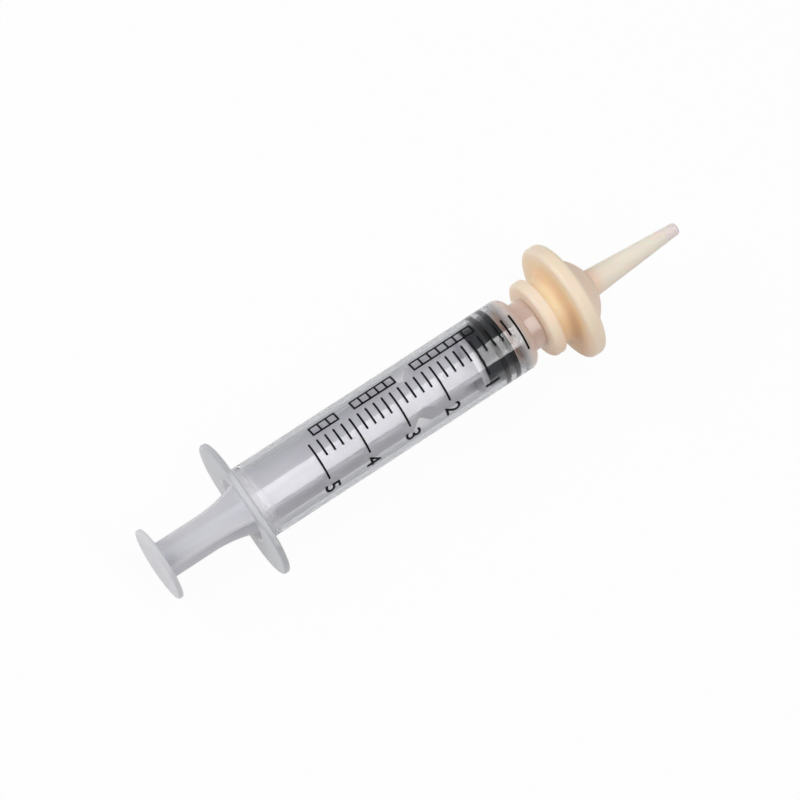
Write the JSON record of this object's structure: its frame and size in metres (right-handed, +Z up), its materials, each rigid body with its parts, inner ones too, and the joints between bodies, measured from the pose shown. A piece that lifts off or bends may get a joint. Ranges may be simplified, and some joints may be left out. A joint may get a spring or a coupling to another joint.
{
  "type": "enteral syringe",
  "caption": "Small translucent feeding syringe with winged flange, ribbed plunger, black rubber stopper and a soft cream feeding nipple with shield and long tapered teat.",
  "frame": {"origin": "on the table under the middle of the lying syringe's length and width", "axes": "+X along the syringe towards the tip, level with the table, +Z up; the syringe's own axis rises 2.60 degrees towards the tip because the nipple's shield is wider than the finger flange"},
  "size_m": [0.1118, 0.0268, 0.0225],
  "materials": {
    "barrel_plastic": "clear-natural polypropylene, glossy, slightly cloudy, black printed scale",
    "rod_plastic": "milky polypropylene, satin",
    "stopper_rubber": "black rubber, lightly oiled",
    "nipple_silicone": "cream silicone, soft satin"
  },
  "bodies": {
    "barrel": {"barrel": "barrel_plastic"},
    "stopper": {"stopper": "stopper_rubber"},
    "plunger_rod": {"plunger_rod": "rod_plastic"},
    "nipple": {"nipple": "nipple_silicone"}
  },
  "joints": [
    {"name": "plunger_slide", "type": "slide", "parent": "barrel", "child": "stopper", "axis": [0.999, 0, 0.0454], "range_m": [-0.0494, 0.003]},
    {"name": "plunger_turn", "type": "hinge", "parent": "stopper", "child": "plunger_rod", "pos_m": [0.0108, 0, 0.01035], "axis": [0.999, 0, 0.0454], "continuous": true},
    {"name": "nipple_pull", "type": "slide", "parent": "barrel", "child": "nipple", "axis": [0.999, 0, 0.0454], "range_m": [0, 0.009]}
  ]
}
